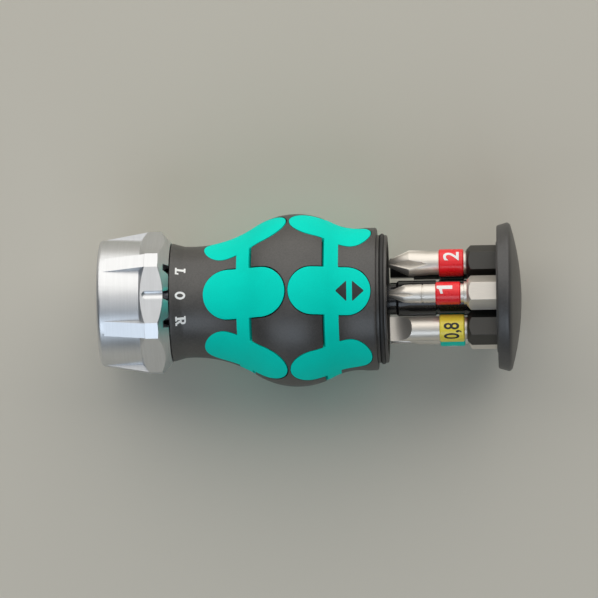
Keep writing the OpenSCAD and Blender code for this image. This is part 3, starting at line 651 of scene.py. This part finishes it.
@dataclass
class Handle:
    """Black handle with its inlaid bands."""

    form: HandleForm = field(default_factory=HandleForm)
    stem_r: float = 9.5
    stem_end_x: float = 22.3
    tail_r: float = 6.8
    tail_end_x: float = 24.8
    pin_r: float = 1.45
    pin_x: float = 26.5
    pocket_r: float = 4.1
    pocket_x: float = 30.7
    chamber_r: float = 12.1
    chamber_x: float = 32.5
    spigot_r: float = 13.6
    spigot_x: float = 61.2
    spigot_round: float = 0.35
    groove: Point = (59.55, 60.65)
    groove_r: float = 12.9
    lip_drop: float = 0.25
    lip_corner: Point = (0.1, 0.06)
    rim_corner: Point = (0.12, 0.1)
    spigot_corner: float = 0.1
    mouth_chamfer: float = 0.2
    skin_step: float = 0.4
    turns: int = 240
    smooth_angle: float = 28.0

    def bands(self) -> list[GripBand]:
        """Front and rear grip band."""
        return [
            GripBand(
                "front_grip_band", pad_x=22.5, pad_len=17.5, pad_w=10.5, belt_x=29.6, belt_w=2.7,
                form=self.form,
            ),
            GripBand(
                "rear_grip_band", pad_x=40.7, pad_len=17.2, pad_w=10.1, belt_x=48.3, belt_w=2.9,
                form=self.form,
            ),
        ]

    def _outline(self) -> list[Point]:
        """Half section of the whole handle, as station and radius."""
        form = self.form
        rim_r = form.radius(form.rim_x)
        skin = [
            (x, form.radius(x)) for x in steps(form.lip_x, form.rim_x - form.rim_chamfer, self.skin_step)
        ]
        lip = [
            (form.lip_x, form.lip_r - self.lip_drop),
            (form.lip_x + self.lip_corner[0], form.lip_r - self.lip_corner[1]),
        ]
        rim = [
            (form.rim_x - self.rim_corner[0], rim_r - self.rim_corner[1]),
            (form.rim_x, rim_r - form.rim_chamfer),
        ]
        end = self.spigot_x
        spigot = [
            (form.rim_x, self.spigot_r), (self.groove[0], self.spigot_r), (self.groove[0], self.groove_r),
            (self.groove[1], self.groove_r), (self.groove[1], self.spigot_r),
            (end - self.spigot_round, self.spigot_r),
            (end - self.spigot_corner, self.spigot_r - self.spigot_corner),
            (end, self.spigot_r - self.spigot_round), (end, self.chamber_r + self.mouth_chamfer),
            (end - self.mouth_chamfer, self.chamber_r),
        ]
        inside = [
            (self.chamber_x, self.chamber_r), (self.chamber_x, self.pocket_r),
            (self.pocket_x, self.pocket_r), (self.pocket_x, self.pin_r), (self.pin_x, self.pin_r),
            (self.pin_x, 0), (self.tail_end_x, 0),
            (self.tail_end_x, self.tail_r), (self.stem_end_x, self.tail_r), (self.stem_end_x, self.stem_r),
            (form.lip_x, self.stem_r),
        ]
        return lip + skin[1:] + rim + spigot + inside

    def build(self, dresser: Dresser) -> None:
        """Makes the handle's pieces.

        Args:
            dresser: Gives the pieces their material and body.
        """
        shell = Bench.lathe("handle_body", self._outline(), self.turns)
        for band in self.bands():
            Bench.cut(shell, band.recess())
            dresser.stands_for(band.build(), band.node)
        Bench.smooth(shell, self.smooth_angle)
        dresser.stands_for(shell, "handle_shell")


class Facing(Enum):
    """Where the tops of printed letters point along the tool."""

    CAP = 1
    NOSE = -1


@dataclass(frozen=True)
class Print:
    """Flat print on a round surface, laid so that its own Y runs along the tool.

    Its height is kept, and narrow is the share of its width that is kept.
    """

    x: float
    angle: float
    height: float
    facing: Facing
    narrow: float = 1.0
    lift: float = 0.02
    thickness: float = 0.05
    cuts: int = 4
    smooth_angle: float = 40.0

    def text(self, body: str, bold: float = 0.015, curve_steps: int = 5) -> bpy.types.Object:
        """Flat mesh of a plain text.

        Args:
            body: The text.
            bold: How much the strokes are thickened.
            curve_steps: Points that each curve of the outline is broken into.

        Returns:
            The new piece.
        """
        Bench.clear()
        bpy.ops.object.text_add()
        piece = bpy.context.object
        piece.data.body = body
        piece.data.offset = bold
        piece.data.resolution_u = curve_steps
        Bench.pick(piece)
        bpy.ops.object.convert(target="MESH")
        return piece

    def lay(
        self, piece: bpy.types.Object, radius: Callable[[float], float], axis: Point = (0.0, 0.0)
    ) -> bpy.types.Object:
        """Scales a flat mesh to the print's height, wraps it on a surface and gives it its thickness.

        Args:
            piece: Flat mesh.
            radius: Radius of the surface at a station.
            axis: Y and Z of the surface's own axis.

        Returns:
            The same piece.
        """
        with Bench.editing(piece):
            Bench.weld()
            bpy.ops.mesh.quads_convert_to_tris()
            bpy.ops.mesh.subdivide(number_cuts=self.cuts)
        xs, ys = zip(*((v.co.x, v.co.y) for v in piece.data.vertices))
        scale = self.height / (max(ys) - min(ys))
        middle = ((max(xs) + min(xs)) / 2, (max(ys) + min(ys)) / 2)
        way = self.facing.value
        top = math.radians(self.angle)
        for vertex in piece.data.vertices:
            x = self.x + way * (vertex.co.y - middle[1]) * scale
            r = radius(x)
            turn = top - way * (vertex.co.x - middle[0]) * self.narrow * scale / r
            r += self.lift
            vertex.co = Vector((x, axis[0] + r * math.sin(turn), axis[1] + r * math.cos(turn))) * MM
        facing = sum((p.normal * p.area for p in piece.data.polygons), Vector())
        if facing.dot(Vector((0, math.sin(top), math.cos(top)))) < 0:
            with Bench.editing(piece):
                bpy.ops.mesh.flip_normals()
        Bench.modify(piece, "SOLIDIFY", thickness=self.thickness * MM, offset=-1.0)
        Bench.smooth(piece, self.smooth_angle)
        return piece


def arc(middle: Point, r: Point, start: float, end: float, count: int = 12) -> tuple[Point, ...]:
    """Points of an elliptic arc.

    Args:
        middle: Centre of the arc.
        r: Radii along X and Y.
        start: First angle in degrees.
        end: Last angle in degrees.
        count: Steps of the arc.

    Returns:
        The points in order.
    """
    turns = [math.radians(start + (end - start) * i / count) for i in range(count + 1)]
    return tuple((middle[0] + r[0] * math.cos(t), middle[1] + r[1] * math.sin(t)) for t in turns)


class Glyph(Enum):
    """Bold letters of height 1, as outlines that meet edge to edge; the zero's outline is inset."""

    L = (
        (
            (0, 0), (0.74, 0), (0.74, 0.34), (0.58, 0.34), (0.58, 0.17), (0.36, 0.17), (0.36, 0.84),
            (0.5, 0.84), (0.5, 1), (0, 1), (0, 0.84), (0.12, 0.84), (0.12, 0.17), (0, 0.17),
        ),
    )
    ONE = (((0.3, 0), (0.56, 0), (0.56, 1), (0.36, 1), (0.28, 0.84), (0, 0.76), (0, 0.6), (0.3, 0.66)),)
    ZERO = (arc((0.38, 0.5), (0.38, 0.5), 0, 352.5, 47),)
    R = (
        (
            (0, 0), (0.46, 0), (0.46, 0.16), (0.35, 0.16), (0.35, 1), (0, 1), (0, 0.84), (0.12, 0.84),
            (0.12, 0.16), (0, 0.16),
        ),
        ((0.35, 1), *arc((0.54, 0.72), (0.29, 0.28), 90, -90), (0.35, 0.44), (0.35, 0.6),
         *arc((0.52, 0.725), (0.1, 0.125), -90, 90), (0.35, 0.85)),
        ((0.4, 0.44), (0.64, 0.44), (0.8, 0.16), (0.94, 0.16), (0.94, 0), (0.66, 0)),
    )

    def build(self, stroke: float = 0.2) -> bpy.types.Object:
        """Flat mesh of the letter.

        Args:
            stroke: Stroke of the zero.

        Returns:
            The new piece.
        """
        flat = [[Vector((x, y, 0)) for x, y in outline] for outline in self.value]
        pieces = [Bench.loop("letter_" + self.name, points, filled=True) for points in flat]
        if self is Glyph.ZERO:
            with Bench.editing(pieces[0]):
                bpy.ops.mesh.inset(thickness=stroke)
                bpy.ops.mesh.delete(type="FACE")
        Bench.pick(pieces[0])
        for piece in pieces:
            piece.select_set(True)
        bpy.ops.object.join()
        return pieces[0]


@dataclass
class Settings:
    """Letters of the selector's settings on the handle's lip."""

    form: HandleForm = field(default_factory=HandleForm)
    x: float = 17.7
    height: float = 2.2
    turn: float = 26.0

    def build(self, dresser: Dresser) -> None:
        """Makes the letters L, 0 and R.

        Args:
            dresser: Gives the pieces their material and body.
        """
        for side, glyph in ((1, Glyph.L), (0, Glyph.ZERO), (-1, Glyph.R)):
            mark = Print(self.x, side * self.turn, self.height, Facing.CAP)
            piece = mark.lay(glyph.build(), self.form.radius)
            dresser.adds(piece, "handle_shell", "print_white")


@dataclass
class Arrows:
    """Two black arrows on the upper rear pad, which point along the tool."""

    form: HandleForm = field(default_factory=HandleForm)
    tips: Point = (50.65, 56.45)
    bases: Point = (52.85, 54.05)
    half: float = 2.1
    rounding: float = 0.25
    corner_steps: int = 4
    cuts: int = 6

    def build(self, dresser: Dresser) -> None:
        """Makes both arrows.

        Args:
            dresser: Gives the pieces their material and body.
        """
        for name, tip, base in zip(("front", "rear"), self.tips, self.bases):
            corners = [(tip, 0.0), (base, -self.half), (base, self.half)]
            piece = Bench.loop("arrow_" + name, [Vector((s, x, 0)) for x, s in corners], filled=True)
            with Bench.editing(piece):
                bpy.ops.mesh.bevel(affect="VERTICES", offset=self.rounding, segments=self.corner_steps)
            mark = Print((tip + base) / 2, 0.0, abs(tip - base), Facing.CAP, cuts=self.cuts)
            mark.lay(piece, self.form.radius)
            dresser.adds(piece, "rear_grip_band", "print_black")


@dataclass(frozen=True)
class Softened:
    """CAD node whose copy gets rounded edges."""

    node: str
    width: float
    angle: float = 25.0
    segments: int = 2
    flat_angle: float = 0.4
    smooth_margin: float = 8.0

    def build(self, dresser: Dresser) -> None:
        """Copies the node, merges its triangles and rounds its edges.

        Args:
            dresser: Gives the piece its material and body.
        """
        piece = bpy.data.objects.new(self.node + "_rounded", frame["nodes"][self.node].data.copy())
        bpy.context.scene.collection.objects.link(piece)
        with Bench.editing(piece):
            bpy.ops.mesh.remove_doubles(threshold=SLACK)
            bpy.ops.mesh.dissolve_limited(angle_limit=math.radians(self.flat_angle))
        Bench.round_edges(piece, self.width, self.angle, self.segments)
        Bench.smooth(piece, self.angle + self.smooth_margin)
        Bench.modify(piece, "WEIGHTED_NORMAL", keep_sharp=True)
        dresser.stands_for(piece, self.node)


SOFTENED = (
    Softened("selector_ring", 0.14, 16.0),
    Softened("end_cap", 0.3, 30.0, 3),
    Softened("bit_retainer", 0.15),
    Softened("magazine_post", 0.1),
    Softened("spindle", 0.1),
)


@dataclass(frozen=True)
class Bit:
    """One bit of the magazine: its nodes, its place on the circle and the number on its sleeve."""

    node: str
    angle: float
    number: str
    number_turn: float
    sleeve_r: float = 2.9
    look: str = "print_white"
    height: float = 3.3
    number_x: float = 74.75
    narrow: float = 1.0
    circle_r: float = 8.05
    edge: Point = (0.06, 28.0)
    sleeve_edge: Point = (0.08, 30.0)

    def build(self, dresser: Dresser) -> None:
        """Rounds the bit and its sleeve and prints the number.

        Args:
            dresser: Gives the pieces their material and body.
        """
        Softened(self.node, *self.edge).build(dresser)
        Softened(self.node + "_sleeve", *self.sleeve_edge).build(dresser)
        turn = math.radians(self.angle)
        axis = (self.circle_r * math.sin(turn), self.circle_r * math.cos(turn))
        mark = Print(self.number_x, self.number_turn, self.height, Facing.NOSE, self.narrow)
        flat = Glyph.ONE.build() if self.number == "1" else mark.text(self.number)
        flat.name = self.node + "_number"
        number = mark.lay(flat, lambda _: self.sleeve_r, axis)
        slot = dresser.slots[self.node + "_sleeve"]
        dresser.adds(number, self.node + "_sleeve", self.look)


BITS = (
    Bit("cross_bit_small", 0, "1", 13, sleeve_r=2.4, height=3.3, number_x=73.35),
    Bit("cross_bit_large", 60, "2", 23),
    Bit("hex_bit", 120, "4", 120),
    Bit("star_bit_small", 180, "15", 180, height=2.7),
    Bit("star_bit_large", 240, "20", 240, height=2.7),
    Bit("slotted_bit", 300, "0,8", -20, look="print_black", height=3.8, number_x=74.9, narrow=0.7),
)


@dataclass(frozen=True)
class Lamp:
    """Area lamp that faces the tool.

    Its turn is counted from straight above towards +Y, its size is its length along the tool and its width in
    metres, its radiance is the brightness of its face, and its shift runs along the tool.
    """

    name: str
    turn: float
    size: Point
    radiance: float
    color: Color
    shift: float = 0.0
    distance: float = 900.0

    def build(self, target: Vector) -> None:
        """Adds the lamp.

        Args:
            target: Point that the lamp faces before its shift, in millimetres.
        """
        middle = (target + Vector((self.shift, 0, 0))) * MM
        way = Vector((0, math.sin(math.radians(self.turn)), math.cos(math.radians(self.turn))))
        Bench.clear()
        bpy.ops.object.light_add(type="AREA", location=middle + way * self.distance * MM)
        lamp = bpy.context.object
        lamp.name = self.name
        lamp.data.shape = "RECTANGLE"
        lamp.data.size, lamp.data.size_y = self.size
        lamp.data.energy = self.radiance * math.pi * self.size[0] * self.size[1]
        lamp.data.color = self.color
        lamp.rotation_euler = way.to_track_quat("Z", "Y").to_euler()


LAMPS = (
    Lamp("key", 51.0, (2.4, 1.5), 1.38, (1.0, 0.97, 0.92)),
    Lamp("top", -5.0, (0.7, 0.4), 0.64, (1.0, 1.0, 1.0)),
    Lamp("strip", -50.0, (0.9, 0.5), 1.75, (0.78, 0.88, 1.0), shift=-190.0),
)


@dataclass
class Studio:
    """Floor, lights and camera."""

    floor_z: float = -18.36
    floor_size: float = 6000.0
    floor_color: Color = (0.59, 0.56, 0.49)
    floor_mottle: float = 0.015
    floor_waves: float = 0.02
    floor_roughness: float = 0.8
    world_color: Color = (0.76, 0.89, 1.0)
    world_strength: float = 0.10
    target: tuple[float, float, float] = (42.2, 0.3, 0.0)
    distance: float = 1000.0
    elevation: float = 83.0
    lean: float = 2.75
    roll: float = 1.0
    focal: float = 282.9
    sensor: float = 36.0
    clip: Point = (50.0, 20000.0)

    def floor(self) -> None:
        """Lays a plain pale floor under the tool."""
        Bench.clear()
        bpy.ops.mesh.primitive_plane_add(size=self.floor_size * MM, location=(0, 0, self.floor_z * MM))
        plane = bpy.context.object
        plane.name = "floor"
        shader = Shader("floor_paper")
        dark: Color = tuple((1 - self.floor_mottle) * c for c in self.floor_color)
        color = shader.mix(shader.noise((self.floor_waves,) * 3), dark, self.floor_color)
        shader.set(Base_Color=color, Roughness=self.floor_roughness)
        plane.data.materials.append(shader.material)

    def lights(self) -> None:
        """Sets soft studio light: a dim cool world and the lamps."""
        world = bpy.data.worlds.new("studio")
        bpy.context.scene.world = world
        world.use_nodes = True
        background = world.node_tree.nodes["Background"]
        background.inputs["Color"].default_value = (*self.world_color, 1.0)
        background.inputs["Strength"].default_value = self.world_strength
        for lamp in LAMPS:
            lamp.build(Vector(self.target))

    def camera(self) -> None:
        """Sets the camera at the photograph's viewing angle."""
        height, lean = math.radians(self.elevation), math.radians(self.lean)
        flat = math.cos(lean)
        way = Vector((math.sin(lean), -math.cos(height) * flat, math.sin(height) * flat))
        right = (Vector((1, 0, 0)) - way * way.x).normalized()
        turn = Matrix((right, way.cross(right), way)).transposed()
        Bench.clear()
        bpy.ops.object.camera_add(location=(Vector(self.target) + way * self.distance) * MM)
        camera = bpy.context.object
        camera.rotation_euler = (turn @ Matrix.Rotation(math.radians(-self.roll), 3, "Z")).to_euler()
        camera.data.lens = self.focal
        camera.data.sensor_width = self.sensor
        camera.data.clip_start, camera.data.clip_end = (limit * MM for limit in self.clip)
        bpy.context.scene.camera = camera
        bpy.context.scene.view_settings.view_transform = "Standard"

    def build(self) -> None:
        """Sets up the whole studio."""
        self.floor()
        self.lights()
        self.camera()


def main() -> None:
    """Builds every piece in order."""
    logging.basicConfig(level=logging.INFO, format="%(message)s")
    Studio().build()
    dresser = Dresser()
    dresser.carry_over()
    Handle().build(dresser)
    Settings().build(dresser)
    Arrows().build(dresser)
    for part in SOFTENED:
        part.build(dresser)
    for bit in BITS:
        bit.build(dresser)


if __name__ == "__main__":
    main()
